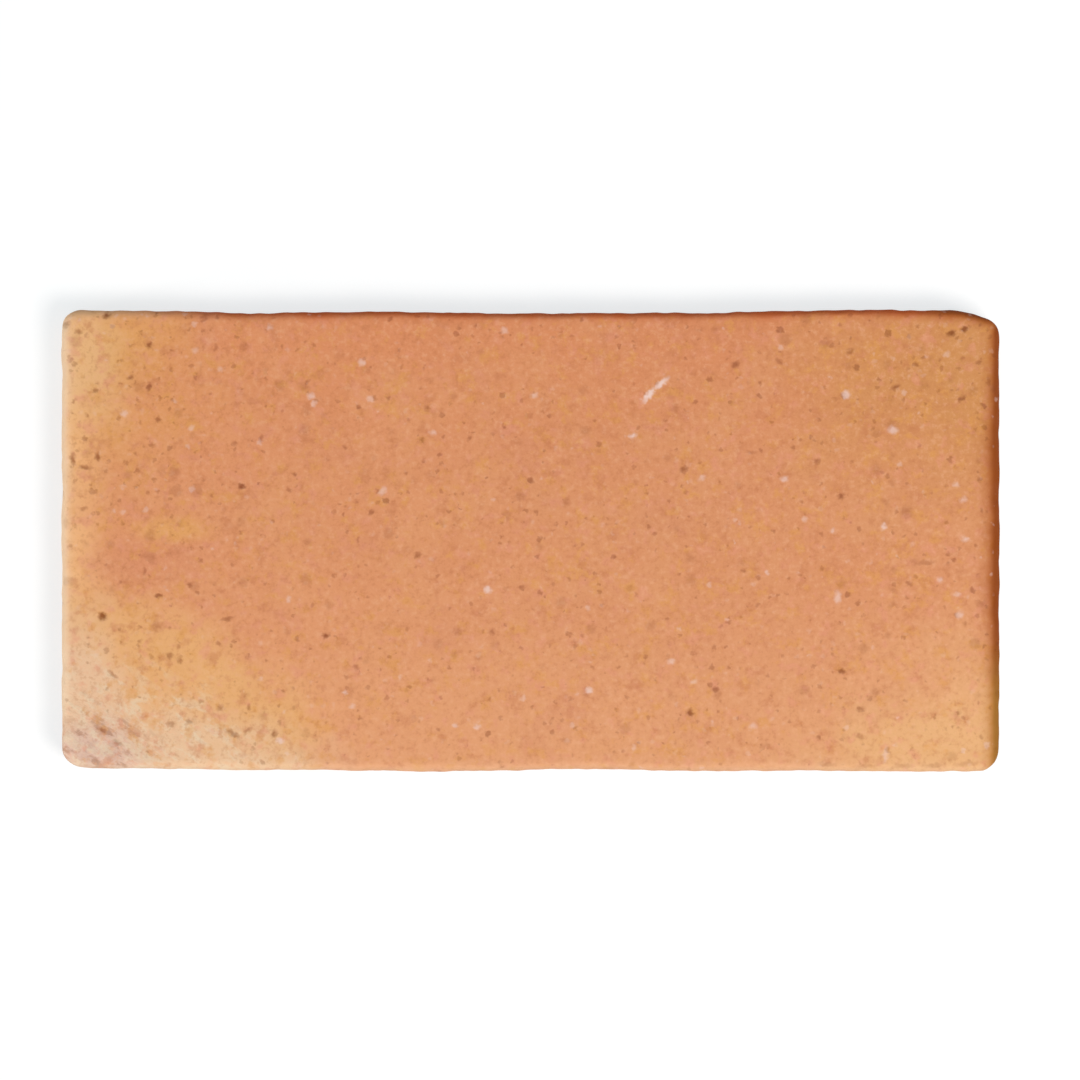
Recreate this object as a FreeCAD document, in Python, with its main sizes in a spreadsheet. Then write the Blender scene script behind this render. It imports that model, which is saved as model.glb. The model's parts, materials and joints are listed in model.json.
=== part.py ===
# Unglazed porcelain tile in a brick format: one slab of stoneware body, pressed in a die and
# fired hard, with gently wavy long sides, four unlike corners, a rounded edge round the face
# and a grid of shallow keys in the back for the adhesive.
#
# Lengths are in millimetres. The origin is at the centre of the back, with +X along the
# length, +Y across it and +Z up through the face.
import FreeCAD, Part
import Sketcher
import math
import os

SIZES = (
    # the slab, over its widest places
    ("length", 200.0),
    ("width", 98.5),
    ("thickness", 10.0),
    # the corners of the outline
    ("radius_left_back", 3.5),
    ("radius_right_back", 3.0),
    ("radius_right_front", 4.5),
    ("radius_left_front", 5.0),
    # the right back corner slumps: a soft arc leads into its small one
    ("slump_radius", 20.0),
    ("slump_reach", 11.0),
    # how far the long sides wander inside the full width, at even stations from left to right
    ("back_dip_1", 0.05),
    ("back_dip_2", 0.65),
    ("back_dip_3", 0.45),
    ("back_dip_4", 0.2),
    ("back_dip_5", 0.7),
    ("back_dip_6", 0.65),
    ("back_dip_7", 0.5),
    ("back_dip_8", 0.75),
    ("back_dip_9", 0.0),
    ("back_dip_10", 0.0),
    ("front_dip_1", 0.75),
    ("front_dip_2", 0.1),
    ("front_dip_3", 0.5),
    ("front_dip_4", 0.0),
    ("front_dip_5", 0.15),
    ("front_dip_6", 0.75),
    ("front_dip_7", 0.3),
    ("front_dip_8", 0.05),
    ("front_dip_9", 0.35),
    ("front_dip_10", 0.0),
    # the edges of the face and of the back
    ("face_edge_radius", 2.5),
    ("back_edge_chamfer", 0.8),
    # the keys: shallow square hollows between ribs, inside a plain border
    ("key_columns", 12),
    ("key_rows", 6),
    ("key_depth", 0.6),
    ("key_rib", 3.0),
    ("key_corner_radius", 1.0),
    ("back_border", 6.5),
)

# The dip that each control point of a long side takes, from left to right: the two at an end
# share one, which is what makes the curve leave its corner straight.
DIP_AT_STATION = (1, 1, 2, 3, 4, 5, 6, 7, 8, 9, 10, 10)
LAST_STATION = len(DIP_AT_STATION) - 1
SIDE_DEGREE = 3
# The points of a sketch item, and the sketch's origin, as constraints name them.
START, END, CENTRE = 1, 2, 3
ORIGIN = (-1, 1)
# Where a quarter turn begins and ends, for an arc on each side of the outline.
RIGHT, BACK, LEFT, FRONT = 0.0, math.pi / 2, math.pi, 3 * math.pi / 2
# What a pattern's gap holds when it takes the pattern's own spacing.
COMMON_SPACING = -1.0
NEAR = 1e-6


def make_sheet(doc):
    """The spreadsheet: each size's name in column A, and its value in B under that alias."""
    sheet = doc.addObject("Spreadsheet::Sheet", "sizes")
    for row, (name, value) in enumerate(SIZES, start=1):
        sheet.set(f"A{row}", name)
        sheet.set(f"B{row}", str(value))
        sheet.setAlias(f"B{row}", name)
    doc.recompute()
    return sheet


def sketch_on_back(body, name):
    """An empty sketch on the plane of the tile's back."""
    sketch = body.newObject("Sketcher::SketchObject", name)
    planes = [plane for plane in body.Origin.OriginFeatures if plane.Role == "XY_Plane"]
    sketch.AttachmentSupport = [(planes[0], "")]
    sketch.MapMode = "FlatFace"
    return sketch


def line(sketch, start, end):
    """A straight item between two points (x, y)."""
    return sketch.addGeometry(
        Part.LineSegment(FreeCAD.Vector(*start, 0), FreeCAD.Vector(*end, 0)), False
    )


def arc(sketch, centre, radius, first, last):
    """An arc about a centre (x, y), from one angle anticlockwise to another."""
    circle = Part.Circle(FreeCAD.Vector(*centre, 0), FreeCAD.Vector(0, 0, 1), radius)
    return sketch.addGeometry(Part.ArcOfCircle(circle, first, last), False)


def drive(sketch, name, expression, kind, *where, now):
    """A named dimension, which starts at the value that the item has now."""
    index = sketch.addConstraint(Sketcher.Constraint(kind, *where, now))
    sketch.renameConstraint(index, name)
    sketch.setExpression(f"Constraints.{name}", expression)


def drive_x(sketch, name, expression, item, point):
    now = sketch.getPoint(item, point).x
    drive(sketch, name, expression, "DistanceX", *ORIGIN, item, point, now=now)


def drive_y(sketch, name, expression, item, point):
    now = sketch.getPoint(item, point).y
    drive(sketch, name, expression, "DistanceY", *ORIGIN, item, point, now=now)


def drive_radius(sketch, name, expression, item):
    now = sketch.Geometry[item].Radius
    drive(sketch, name, expression, "Radius", item, now=now)


def join(sketch, kind, item, point, other, other_point):
    """A constraint of this kind between a point of one item and a point of another."""
    sketch.addConstraint(Sketcher.Constraint(kind, item, point, other, other_point))


def wavy_side(sketch, sheet, side, outwards, first, last):
    """A long side as one smooth curve from left to right, which ends parallel to X.

    Its control points stand at even stations between the corner arcs. `first` and `last` are
    where the corner arcs leave off, in from the ends of the slab.
    """
    from_left = -sheet.length / 2 + sheet.get(first)
    span = sheet.length - sheet.get(first) - sheet.get(last)
    poles = []
    for station, dip in enumerate(DIP_AT_STATION):
        y = outwards * (sheet.width / 2 - sheet.get(f"{side}_dip_{dip}"))
        poles.append(FreeCAD.Vector(from_left + span * station / LAST_STATION, y, 0))
    curve = Part.BSplineCurve(poles, None, None, False, SIDE_DEGREE, None, False)
    return sketch.addGeometry(curve, False)


def drive_wavy_side(sketch, item, side, sign, first, last):
    """Ties the control points of a wavy side to the sheet."""
    first_pole = sketch.GeometryCount
    sketch.exposeInternalGeometry(item)
    for station, dip in enumerate(DIP_AT_STATION):
        pole = first_pole + station
        span = f"(sizes.length - sizes.{first} - sizes.{last})"
        x = f"-sizes.length / 2 + sizes.{first} + {span} * {station} / {LAST_STATION}"
        y = f"{sign}(sizes.width / 2 - sizes.{side}_dip_{dip})"
        drive_x(sketch, f"{side}_x_{station}", x, pole, CENTRE)
        drive_y(sketch, f"{side}_y_{station}", y, pole, CENTRE)


def outline(body, sheet):
    """The closed outline of the slab, anticlockwise from the front side."""
    sketch = sketch_on_back(body, "Outline")
    right = sheet.length / 2
    back = sheet.width / 2
    small = sheet.radius_right_back
    slump = sheet.slump_radius
    turn = math.asin((sheet.slump_reach - small) / (slump - small))
    slump_x = right - sheet.slump_reach
    slump_y = back - sheet.back_dip_10 - slump
    small_x = right - small
    small_y = slump_y + (slump - small) * math.cos(turn)
    lf, lb, rf = sheet.radius_left_front, sheet.radius_left_back, sheet.radius_right_front
    lf_y = -back + sheet.front_dip_1 + lf
    lb_y = back - sheet.back_dip_1 - lb
    rf_y = -back + sheet.front_dip_10 + rf

    front_side = wavy_side(sketch, sheet, "front", -1, "radius_left_front", "radius_right_front")
    right_front = arc(sketch, (right - rf, rf_y), rf, FRONT, 2 * math.pi)
    right_side = line(sketch, (right, rf_y), (right, small_y))
    right_back = arc(sketch, (small_x, small_y), small, RIGHT, BACK - turn)
    slumped = arc(sketch, (slump_x, slump_y), slump, BACK - turn, BACK)
    back_side = wavy_side(sketch, sheet, "back", 1, "radius_left_back", "slump_reach")
    left_back = arc(sketch, (-right + lb, lb_y), lb, BACK, LEFT)
    left_side = line(sketch, (-right, lb_y), (-right, lf_y))
    left_front = arc(sketch, (-right + lf, lf_y), lf, LEFT, FRONT)

    drive_wavy_side(sketch, front_side, "front", "-", "radius_left_front", "radius_right_front")
    drive_wavy_side(sketch, back_side, "back", "", "radius_left_back", "slump_reach")
    join(sketch, "Tangent", right_front, END, right_side, START)
    join(sketch, "Tangent", right_side, END, right_back, START)
    join(sketch, "Tangent", right_back, END, slumped, START)
    join(sketch, "Tangent", left_back, END, left_side, START)
    join(sketch, "Tangent", left_side, END, left_front, START)
    # A curved side ends parallel to X, so an arc whose centre stands over its end meets it
    # without a kink.
    join(sketch, "Coincident", front_side, END, right_front, START)
    join(sketch, "Vertical", right_front, START, right_front, CENTRE)
    join(sketch, "Coincident", back_side, END, slumped, END)
    join(sketch, "Vertical", slumped, END, slumped, CENTRE)
    join(sketch, "Coincident", back_side, START, left_back, START)
    join(sketch, "Vertical", left_back, START, left_back, CENTRE)
    join(sketch, "Coincident", front_side, START, left_front, END)
    join(sketch, "Vertical", left_front, END, left_front, CENTRE)
    drive_radius(sketch, "small_radius", "sizes.radius_right_back", right_back)
    drive_radius(sketch, "slumped_radius", "sizes.slump_radius", slumped)
    sketch.addConstraint(Sketcher.Constraint("Vertical", right_side))
    sketch.addConstraint(Sketcher.Constraint("Vertical", left_side))
    drive_x(sketch, "right_end", "sizes.length / 2", right_side, START)
    drive_x(sketch, "left_end", "-sizes.length / 2", left_side, START)
    return sketch


def first_key(body, sheet):
    """One rounded rectangle, the hollow at the left front corner of the grid."""
    sketch = sketch_on_back(body, "Key")
    border, rib = sheet.back_border, sheet.key_rib
    left = -sheet.length / 2 + border
    front = -sheet.width / 2 + border
    right = left + (sheet.length - 2 * border + rib) / sheet.key_columns - rib
    back = front + (sheet.width - 2 * border + rib) / sheet.key_rows - rib
    round_by = sheet.key_corner_radius
    in_left, in_right = left + round_by, right - round_by
    in_front, in_back = front + round_by, back - round_by

    front_line = line(sketch, (in_left, front), (in_right, front))
    right_line = line(sketch, (right, in_front), (right, in_back))
    back_line = line(sketch, (in_right, back), (in_left, back))
    left_line = line(sketch, (left, in_back), (left, in_front))
    right_front = arc(sketch, (in_right, in_front), round_by, FRONT, 2 * math.pi)
    right_back = arc(sketch, (in_right, in_back), round_by, RIGHT, BACK)
    left_back = arc(sketch, (in_left, in_back), round_by, BACK, LEFT)
    left_front = arc(sketch, (in_left, in_front), round_by, LEFT, FRONT)

    ring = (front_line, right_front, right_line, right_back)
    ring += (back_line, left_back, left_line, left_front)
    for item, following in zip(ring, (*ring[1:], ring[0])):
        join(sketch, "Tangent", item, END, following, START)
    for corner in (right_back, left_back, left_front):
        sketch.addConstraint(Sketcher.Constraint("Equal", right_front, corner))
    for flat in (front_line, back_line):
        sketch.addConstraint(Sketcher.Constraint("Horizontal", flat))
    sketch.addConstraint(Sketcher.Constraint("Vertical", right_line))
    across = "(sizes.length - 2 * sizes.back_border + sizes.key_rib) / sizes.key_columns"
    along = "(sizes.width - 2 * sizes.back_border + sizes.key_rib) / sizes.key_rows"
    left_edge = "-sizes.length / 2 + sizes.back_border"
    front_edge = "-sizes.width / 2 + sizes.back_border"
    drive_x(sketch, "left_edge", left_edge, left_line, START)
    drive_y(sketch, "front_edge", front_edge, front_line, START)
    drive_x(sketch, "right_edge", f"{left_edge} + {across} - sizes.key_rib", right_line, START)
    drive_y(sketch, "back_edge", f"{front_edge} + {along} - sizes.key_rib", back_line, START)
    drive_radius(sketch, "corner_radius", "sizes.key_corner_radius", right_front)
    return sketch


def rim_at(feature, height):
    """The names of the edges round the outside of a feature's level face at this height."""
    level = []
    for face in feature.Shape.Faces:
        box = face.BoundBox
        if abs(box.ZMin - height) < NEAR and abs(box.ZMax - height) < NEAR:
            level.append(face)
    rim = max(level, key=lambda face: face.BoundBox.DiagonalLength).OuterWire.Edges
    names = []
    for number, edge in enumerate(feature.Shape.Edges, start=1):
        if any(edge.isSame(other) for other in rim):
            names.append(f"Edge{number}")
    return names


def faces_added(before, after):
    """How many faces a feature adds to the one before it."""
    return len(after.Shape.Faces) - len(before.Shape.Faces)


def make_tile(doc, sheet):
    """The tile: the outline padded, its back keyed and chamfered, its face rounded."""
    body = doc.addObject("PartDesign::Body", "tile")
    body.Label = "tile"

    slab = body.newObject("PartDesign::Pad", "Slab")
    slab.Profile = outline(body, sheet)
    slab.setExpression("Length", "sizes.thickness")
    doc.recompute()

    key = body.newObject("PartDesign::Pocket", "FirstKey")
    key.Profile = first_key(body, sheet)
    key.Reversed = True
    key.setExpression("Length", "sizes.key_depth")
    doc.recompute()
    if key.Shape.Volume >= slab.Shape.Volume:
        raise RuntimeError("the first key cuts nothing")

    keys = body.newObject("PartDesign::LinearPattern", "Keys")
    keys.Originals = [key]
    keys.Direction = (key.Profile[0], ["H_Axis"])
    keys.Direction2 = (key.Profile[0], ["V_Axis"])
    keys.Mode = "Spacing"
    keys.Mode2 = "Spacing"
    keys.setExpression("Occurrences", "sizes.key_columns")
    keys.setExpression("Occurrences2", "sizes.key_rows")
    doc.recompute()
    keys.Spacings = [COMMON_SPACING] * (sheet.key_columns - 1)
    keys.Spacings2 = [COMMON_SPACING] * (sheet.key_rows - 1)
    pitch = "(sizes.{0} - 2 * sizes.back_border + sizes.key_rib) / sizes.{1}"
    keys.setExpression("Offset", pitch.format("length", "key_columns"))
    keys.setExpression("Offset2", pitch.format("width", "key_rows"))
    body.Tip = keys
    doc.recompute()
    wanted = faces_added(slab, key) * sheet.key_columns * sheet.key_rows
    if faces_added(slab, keys) != wanted:
        raise RuntimeError("the grid of keys is incomplete")

    rounded = body.newObject("PartDesign::Fillet", "FaceEdge")
    rounded.Base = (keys, rim_at(keys, sheet.thickness))
    rounded.setExpression("Radius", "sizes.face_edge_radius")
    doc.recompute()

    eased = body.newObject("PartDesign::Chamfer", "BackEdge")
    eased.Base = (rounded, rim_at(rounded, 0.0))
    eased.setExpression("Size", "sizes.back_edge_chamfer")
    doc.recompute()
    return body


def check(doc, parts):
    """Stops if any object failed or any sub-part isn't one sound solid."""
    for item in doc.Objects:
        if "Invalid" in item.State or "Error" in item.State:
            raise RuntimeError(f"{item.Name} failed: {item.State}")
    for part in parts:
        shape = part.Shape
        if shape.isNull() or not shape.isValid() or len(shape.Solids) != 1:
            raise RuntimeError(f"{part.Label} isn't one sound solid")


def main():
    doc = FreeCAD.newDocument("PorcelainTile")
    sheet = make_sheet(doc)
    parts = [make_tile(doc, sheet)]
    doc.recompute()
    check(doc, parts)
    os.makedirs("parts", exist_ok=True)
    for part in parts:
        part.Shape.exportStep(f"parts/{part.Label}.step")
        box = part.Shape.optimalBoundingBox(False)
        print(f"{part.Label}: {box.XLength:.2f} x {box.YLength:.2f} x {box.ZLength:.2f} mm")
        print(f"{part.Label}: {part.Shape.Volume / 1000:.1f} cubic centimetres")


main()
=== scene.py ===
# %% [markdown]
# # An unglazed porcelain tile
# The object is one pressed slab of stoneware body in a brick format, coloured like terracotta
# and fired without a glaze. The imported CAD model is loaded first, and sizes and places are
# read from it, so the tile that is drawn is the tile that was built.

# %% Load the frame
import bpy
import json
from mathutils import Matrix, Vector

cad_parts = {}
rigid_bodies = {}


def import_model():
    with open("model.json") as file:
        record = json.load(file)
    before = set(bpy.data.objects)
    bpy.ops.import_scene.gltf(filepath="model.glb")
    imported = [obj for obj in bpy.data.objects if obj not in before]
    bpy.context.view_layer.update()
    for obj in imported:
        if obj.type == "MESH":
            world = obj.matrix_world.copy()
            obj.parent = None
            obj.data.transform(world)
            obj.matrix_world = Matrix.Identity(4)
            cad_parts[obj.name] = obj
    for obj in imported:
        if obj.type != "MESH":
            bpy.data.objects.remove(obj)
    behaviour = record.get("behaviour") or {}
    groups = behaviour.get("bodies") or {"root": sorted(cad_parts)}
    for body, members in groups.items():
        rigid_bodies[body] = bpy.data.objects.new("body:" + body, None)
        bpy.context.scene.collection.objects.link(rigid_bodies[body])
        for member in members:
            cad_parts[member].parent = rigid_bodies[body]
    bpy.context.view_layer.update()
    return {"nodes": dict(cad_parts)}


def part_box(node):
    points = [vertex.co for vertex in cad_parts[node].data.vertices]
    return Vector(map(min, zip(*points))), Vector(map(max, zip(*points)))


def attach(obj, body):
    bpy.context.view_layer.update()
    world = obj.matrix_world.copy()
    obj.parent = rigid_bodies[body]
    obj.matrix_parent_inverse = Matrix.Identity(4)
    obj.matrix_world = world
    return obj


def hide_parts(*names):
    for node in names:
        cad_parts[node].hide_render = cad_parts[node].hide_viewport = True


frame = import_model()

import json
import math

import bpy
import numpy as np

MM = 0.001
low, high = np.array(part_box("tile")) / MM
LENGTH, WIDTH, THICKNESS = high - low
print(f"slab {LENGTH:.1f} x {WIDTH:.1f} x {THICKNESS:.1f} mm")

# %% [markdown]
# ## The outline
# The press die gives the slab its outline, and drying and firing leave the long sides gently
# wavy and each corner a little different. The outline could be drawn again here from its
# radii, but the CAD wall already holds it: the wall's vertices, sorted by their angle about
# the centre, are the outline. It is then walked at even steps and smoothed a little, because
# a wall is stored as flat facets.

# %% Read the outline off the CAD wall
WALL_LOW, WALL_HIGH = 0.7, 7.6
WALK_STEP = 0.1
SMOOTH_OVER = 0.7


def vertices_of(thing):
    """The vertices of an object's mesh, in millimetres, one row each."""
    flat = np.empty(len(thing.data.vertices) * 3, np.float32)
    thing.data.vertices.foreach_get("co", flat)
    return flat.reshape(-1, 3).astype(float) / MM


def walk(line, distances):
    """Points of a closed line at these distances along it, by linear interpolation."""
    closed = np.vstack([line, line[:1]])
    along = np.concatenate([[0.0], np.cumsum(np.hypot(*np.diff(closed, axis=0).T))])
    distances = distances % along[-1]
    return np.column_stack([np.interp(distances, along, closed[:, axis]) for axis in (0, 1)])


def length_of(line):
    """The length of a closed line."""
    return np.hypot(*(np.roll(line, -1, axis=0) - line).T).sum()


def smoothed(line, reach):
    """A closed line averaged with its neighbours under a bell curve that is `reach` wide."""
    offsets = np.arange(-3 * reach, 3 * reach + WALK_STEP, WALK_STEP)
    weights = np.exp(-0.5 * (offsets / reach) ** 2)
    weights /= weights.sum()
    pad = len(weights) // 2
    padded = np.vstack([line[-pad:], line, line[:pad]])
    return np.column_stack([np.convolve(padded[:, axis], weights, "valid") for axis in (0, 1)])


corners = vertices_of(frame["nodes"]["tile"])
wall = corners[(corners[:, 2] > WALL_LOW) & (corners[:, 2] < WALL_HIGH)]
rim = np.unique(np.round(wall[:, :2], 3), axis=0)
rim = rim[np.argsort(np.arctan2(rim[:, 1], rim[:, 0]))]
outline = smoothed(walk(rim, np.arange(0, length_of(rim), WALK_STEP)), SMOOTH_OVER)
print(f"outline of {len(rim)} CAD corners, {length_of(outline):.1f} mm round")

# %% [markdown]
# ## A grid that wraps the slab
# A slab with rounded edges could be a beveled cube, but then its face would be one polygon
# with nothing to bend. Here the surface is a grid: a level patch on the face, a level patch
# on the back, and between them rings that run over the shoulder, down the wall and under the
# arris. Each patch is a rectangle, and each ring lies between the rectangle's edge and the
# outline, so the rings turn from square corners to round ones on the way out and no line
# ever crosses another.

# %% Stations round the outline
ALONG, ACROSS = 256, 126
FACE_INSET = 9.0
BACK_INSET = 5.0


def rectangle(lines_x, lines_y):
    """The edge points of a grid of lines, anticlockwise from its left front corner."""
    front = np.column_stack([lines_x[:-1], np.full(ALONG, lines_y[0])])
    right = np.column_stack([np.full(ACROSS, lines_x[-1]), lines_y[:-1]])
    back = np.column_stack([lines_x[:0:-1], np.full(ALONG, lines_y[-1])])
    left = np.column_stack([np.full(ACROSS, lines_x[0]), lines_y[:0:-1]])
    return np.vstack([front, right, back, left])


def stations():
    """As many outline points as a patch has edge points, even along each side.

    A side runs from the middle of one corner to the middle of the next, and the middle of a
    corner is the outline's point nearest to that corner of the slab's box.
    """
    box = np.array([[low[0], low[1]], [high[0], low[1]], [high[0], high[1]], [low[0], high[1]]])
    round_it = length_of(outline)
    apart = np.hypot(*(outline[:, None] - box[None]).transpose(2, 0, 1))
    turns = apart.argmin(axis=0) / len(outline) * round_it
    ends = np.roll(turns, -1)
    spans = (ends - turns) % round_it
    counts = (ALONG, ACROSS, ALONG, ACROSS)
    sides = [t + s * np.arange(n) / n for t, s, n in zip(turns, spans, counts)]
    return walk(outline, np.concatenate(sides))


edge = stations()
print(f"{len(edge)} stations, about {length_of(edge) / len(edge):.2f} mm apart")

# %% [markdown]
# ## The keyed back
# The back of a pressed tile carries a grid of shallow hollows, so that the adhesive grips.
# They are cut by a formula: the height of the back at a point depends on how far the point
# is inside the nearest rounded square. The grid lines crowd together where the walls of the
# hollows are, because a wall needs lines and a level floor doesn't.

# %% Where the hollows are
KEY_COLUMNS, KEY_ROWS = 12, 6
KEY_BORDER, KEY_RIB = 6.5, 3.0
KEY_DEPTH = 0.6
KEY_CORNER = 1.0
WALL_SLOPE = 0.22
CROWD, CROWD_REACH = 7.0, 0.55
FINE_STEPS = 20001

key_pitch = (np.array([LENGTH, WIDTH]) - 2 * KEY_BORDER + KEY_RIB) / (KEY_COLUMNS, KEY_ROWS)
key_half = (key_pitch - KEY_RIB) / 2


def crowded(half, pitch, hollow_half, count):
    """`count` + 1 grid lines from -half to half, closer together near the hollows' walls.

    The lines are evenly spaced in a running total that grows faster near a wall.
    """
    fine = np.linspace(-half, half, FINE_STEPS)
    from_rib = np.abs((fine / pitch + 0.5) % 1 - 0.5) * pitch
    wall_at = pitch / 2 - hollow_half
    density = 1 + CROWD * np.exp(-(((from_rib - wall_at) / CROWD_REACH) ** 2))
    total = np.cumsum(density)
    total = (total - total[0]) / (total[-1] - total[0])
    return np.interp(np.linspace(0, 1, count + 1), total, fine)


def eased(value, start, end):
    """0 before start, 1 after end, and a smooth S between them."""
    part = np.clip((value - start) / (end - start), 0, 1)
    return part * part * (3 - 2 * part)


def hollow_height(x, y):
    """How far the back is raised at a point: the key depth inside a rounded square, else 0."""
    pairwise = (2, *[1] * np.ndim(x))
    pitch = key_pitch.reshape(pairwise)
    from_rib = np.stack([x, y]) - pitch / 2
    local = np.abs((from_rib / pitch + 0.5) % 1 - 0.5) * pitch
    past = local - (key_half - KEY_CORNER).reshape(pairwise)
    outside = np.hypot(*np.maximum(past, 0)) + np.minimum(past.max(axis=0), 0) - KEY_CORNER
    limit = np.array([LENGTH, WIDTH]) / 2 - KEY_BORDER + KEY_RIB / 2
    within = (np.abs(x) < limit[0]) & (np.abs(y) < limit[1])
    return KEY_DEPTH * eased(outside, WALL_SLOPE, -WALL_SLOPE) * within


back_x = crowded(LENGTH / 2 - BACK_INSET, key_pitch[0], key_half[0], ALONG)
back_y = crowded(WIDTH / 2 - BACK_INSET, key_pitch[1], key_half[1], ACROSS)
print(f"hollows {2 * key_half[0]:.1f} x {2 * key_half[1]:.1f} mm")
print(f"grid lines {np.diff(back_x).min():.2f} mm apart at a wall")

# %% [markdown]
# ## Pressed, dried and fired: the unevenness
# A real face is never quite level. Long swells come from drying, shorter ones from the worn
# rubber of the die, and the shoulders are softer in one place than in the next. All of these
# are sums of plane waves in random directions near one wavelength: smooth and seeded.

# %% Waves and dents
def waves(points, wavelength, seed, count=28):
    """Smooth random relief with a spread of 1: plane waves in random directions, added up."""
    random = np.random.default_rng(seed)
    heading = random.normal(size=(points.shape[1], count))
    heading /= np.linalg.norm(heading, axis=0)
    pulse = 2 * math.pi / (wavelength * random.uniform(0.7, 1.5, count))
    phase = random.uniform(0, 2 * math.pi, count)
    return np.sin((points @ heading) * pulse + phase).sum(axis=1) / math.sqrt(count / 2)


# Height, wavelength and seed of each swell, and the creases of the left front corner.
SWELLS = ((0.07, 55.0, 1), (0.035, 17.0, 2), (0.012, 5.0, 3))
CREASED_AT, CREASED_OVER = (-95.0, -46.0), (14.0, 9.0)
CREASE_HEIGHT, CREASE_WAVELENGTH = 0.09, 3.4
# Chips and dents in the rim and the face: x, y, reach and depth, in millimetres.
DENTS = (
    (-90.3, 48.6, 0.9, 0.45), (-99.0, 46.6, 1.2, 0.5),
    (-97.6, -46.8, 1.8, 0.5), (-94.5, -43.2, 1.5, 0.3),
    (-89.0, -43.0, 1.6, 0.35), (-92.0, -47.6, 1.4, 0.4),
    (-86.5, -48.0, 1.5, 0.35), (-91.0, -16.0, 0.9, 0.3),
    (-97.3, 16.2, 1.5, 0.25), (90.0, 44.5, 1.0, 0.25),
    (92.7, 45.5, 0.9, 0.25), (98.8, 38.0, 1.6, 0.25),
    (99.2, -30.0, 1.8, 0.25), (33.0, -36.3, 0.8, 0.2),
    (61.0, 48.9, 1.6, 0.2), (-20.0, 48.4, 1.8, 0.2),
    (14.0, -48.6, 1.6, 0.2), (-44.0, -48.6, 1.6, 0.2),
)
print(len(SWELLS), "swells and", len(DENTS), "dents")


def face_relief(x, y):
    """How far the face stands above its level plane: the swells, dents and creases, added up."""
    flat = np.column_stack([x.ravel(), y.ravel()])
    swell = sum(height * waves(flat, wavelength, seed) for height, wavelength, seed in SWELLS)
    for dent_x, dent_y, reach, depth in DENTS:
        away = ((flat[:, 0] - dent_x) ** 2 + (flat[:, 1] - dent_y) ** 2) / reach**2
        swell -= depth * np.exp(-away)
    creased = np.exp(-(((flat - CREASED_AT) / CREASED_OVER) ** 2).sum(axis=1))
    swell += CREASE_HEIGHT * creased * waves(flat, CREASE_WAVELENGTH, 4)
    return swell.reshape(x.shape)


# %% [markdown]
# ## From the patches and rings to one closed mesh
# A point of a ring is told by how far in from the outline it lies and how high it is. On the
# shoulder both follow a quarter of an ellipse, on the arris a quarter of a circle. The
# shoulder is wide and soft on the right and tighter on the other sides.

# %% Rings over the shoulder, wall and arris
SHOULDER_LIFT = 2.3
ARRIS = 0.8
RINGS_FACE, RINGS_SHOULDER, RINGS_WALL, RINGS_ARRIS, RINGS_BACK = 7, 11, 7, 4, 5

face_x = np.linspace(-LENGTH / 2 + FACE_INSET, LENGTH / 2 - FACE_INSET, ALONG + 1)
face_y = np.linspace(-WIDTH / 2 + FACE_INSET, WIDTH / 2 - FACE_INSET, ACROSS + 1)
face_edge = rectangle(face_x, face_y)
back_edge = rectangle(back_x, back_y)
ahead = np.roll(edge, -1, axis=0) - np.roll(edge, 1, axis=0)
outwards = np.column_stack([ahead[:, 1], -ahead[:, 0]]) / np.hypot(*ahead.T)[:, None]

to_right, to_left = np.maximum(outwards[:, 0], 0), np.maximum(-outwards[:, 0], 0)
to_back, to_front = np.maximum(outwards[:, 1], 0), np.maximum(-outwards[:, 1], 0)
shoulder = 3.1 * to_right**2 + 1.8 * to_left**2 + 1.9 * to_back**2 + 1.9 * to_front**2
shoulder = shoulder * (1 + 0.10 * waves(edge, 26.0, 5)) + 0.08 * waves(edge, 8.0, 6)


def rings():
    """Every ring between the two patches, from the face down and under to the back.

    Returns the points (ring, station, xyz), the way each faces, and how far in it lies.
    """
    inset, height, facing = [], [], []
    ones = np.ones(len(edge))
    for step in range(1, RINGS_FACE + 1):
        part = step / (RINGS_FACE + 1)
        inset.append(FACE_INSET + (shoulder - FACE_INSET) * part)
        height.append(THICKNESS * ones)
        facing.append(0.0)
    for turn in np.linspace(0, math.pi / 2, RINGS_SHOULDER):
        inset.append(shoulder * (1 - math.sin(turn)))
        height.append(THICKNESS * ones - SHOULDER_LIFT * (1 - math.cos(turn)))
        facing.append(turn)
    wall_top = THICKNESS - SHOULDER_LIFT
    for step in range(1, RINGS_WALL + 1):
        inset.append(0 * ones)
        height.append((wall_top + (ARRIS - wall_top) * step / RINGS_WALL) * ones)
        facing.append(math.pi / 2)
    for turn in np.linspace(0, math.pi / 2, RINGS_ARRIS + 1)[1:]:
        inset.append(ARRIS * (1 - math.cos(turn)) * ones)
        height.append(ARRIS * (1 - math.sin(turn)) * ones)
        facing.append(math.pi / 2 + turn)
    for step in range(1, RINGS_BACK + 1):
        inset.append((ARRIS + (BACK_INSET - ARRIS) * step / (RINGS_BACK + 1)) * ones)
        height.append(0 * ones)
        facing.append(math.pi)
    inset, height, facing = np.array(inset), np.array(height), np.array(facing)
    over = facing[:, None, None] <= math.pi / 2
    patch = np.where(over, face_edge, back_edge)
    reach = np.where(over, FACE_INSET, BACK_INSET)
    flat = edge + (patch - edge) * (inset[..., None] / reach)
    return np.concatenate([flat, height[..., None]], axis=2), facing, inset


ring_points, ring_facing, ring_inset = rings()
print(f"{len(ring_points)} rings of {len(edge)} points")

# %% [markdown]
# ## Displacing the rings
# The relief lifts what faces up, pushes out what faces out, and leaves the back alone: its
# border and ribs lie in one plane, because that plane is what the tile beds on. A Displace
# modifier could do this, but a formula can fade the relief out where the wall begins.

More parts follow.
